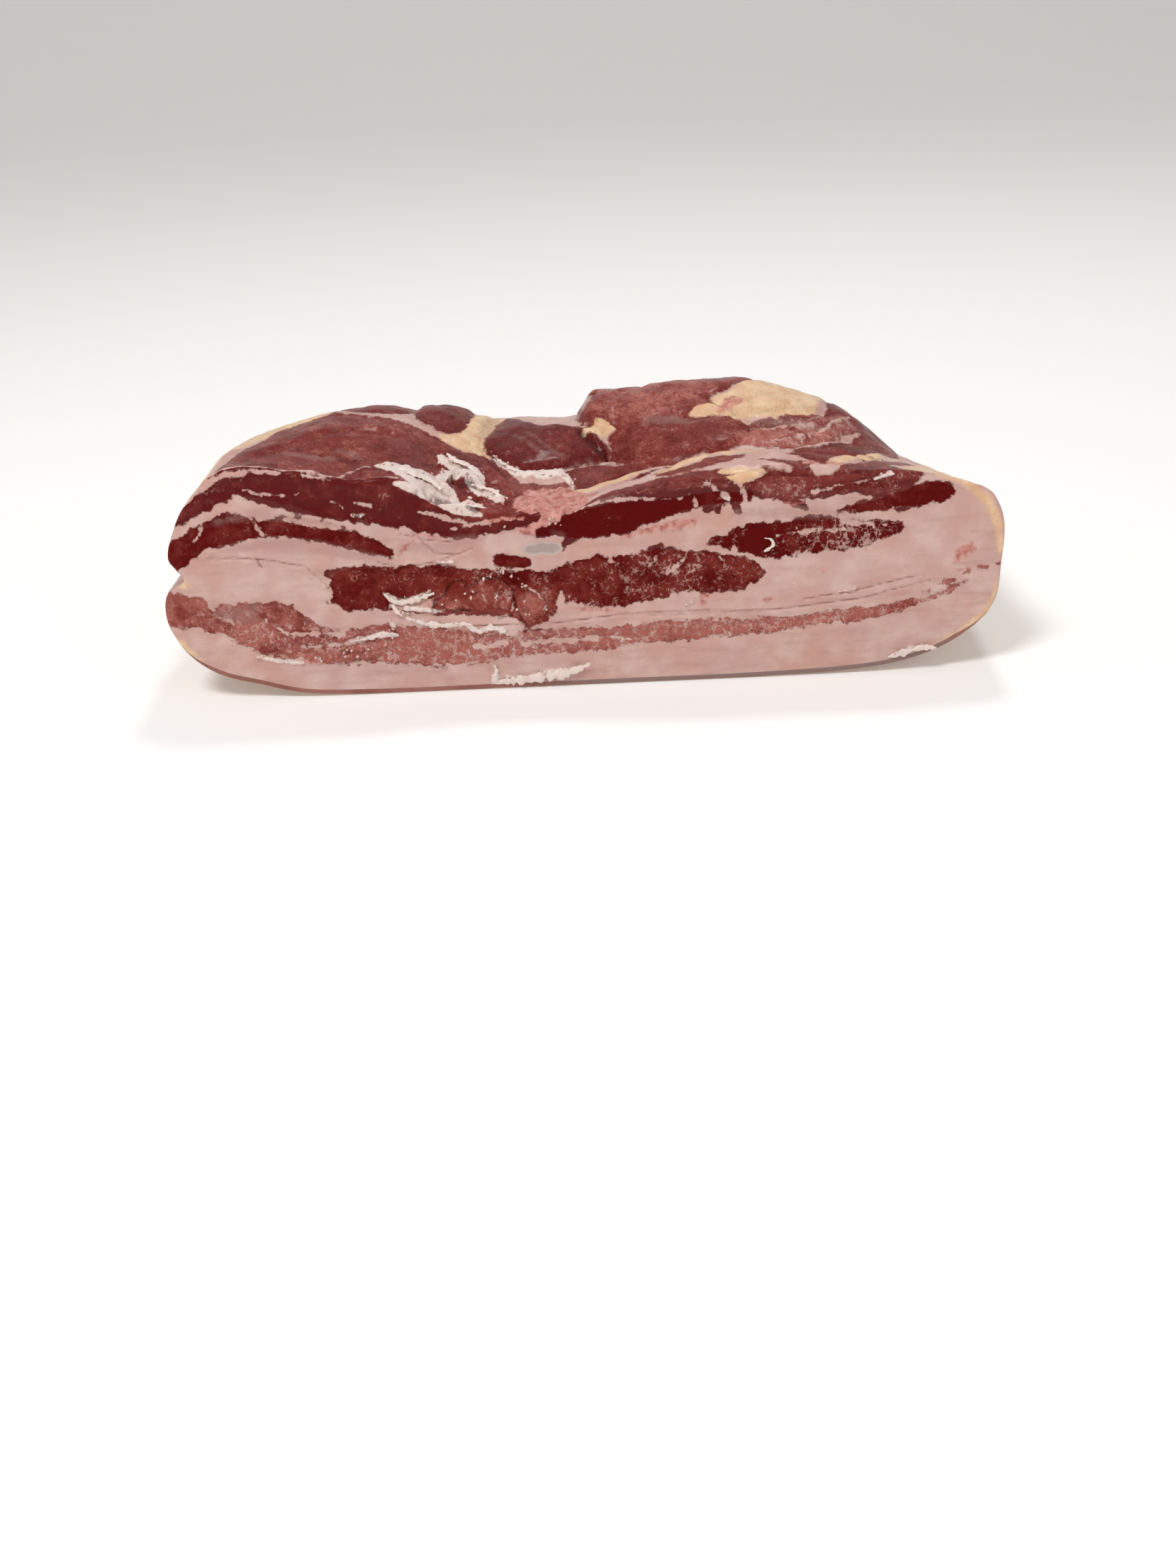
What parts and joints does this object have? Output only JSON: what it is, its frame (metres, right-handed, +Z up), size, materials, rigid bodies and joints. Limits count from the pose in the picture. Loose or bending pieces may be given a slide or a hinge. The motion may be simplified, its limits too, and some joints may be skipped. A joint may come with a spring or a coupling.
{
  "type": "slab of pancetta",
  "caption": "Slab of raw pork belly for pancetta, cut across both sides, lying on its rind, with lean layers running through the fat and muscle humps on top",
  "frame": {"origin": "middle of the underside, the rind side the slab rests on", "axes": "+X along the cut faces from the thin belly edge to the fatty back edge, +Y from the front cut to the back cut, +Z up"},
  "size_m": [0.2705, 0.104, 0.0822],
  "materials": {
    "fat": "raw pork fat, pinkish white, moist",
    "dark_lean": "dark raw lean with lacy fat, moist",
    "pale_lean": "pale skin muscle, finely marbled",
    "top_lean": "brown-red lean under a thin glossy membrane",
    "cartilage": "greyish, slightly clear rib cartilage"
  },
  "bodies": {
    "root": {"fat_body": "fat", "lean_belly_edge": "dark_lean", "lean_crest": "top_lean", "lean_flank_top": "top_lean", "lean_loin_band": "dark_lean", "lean_main": "dark_lean", "lean_middle": "top_lean", "lean_rib_sliver": "dark_lean", "lean_ridge": "top_lean", "lean_shoulder": "dark_lean", "lean_skin_muscle": "pale_lean", "lean_skin_ribbon": "pale_lean", "lean_tongue": "top_lean", "lean_upper": "dark_lean", "rib_cartilage": "cartilage"}
  },
  "joints": []
}
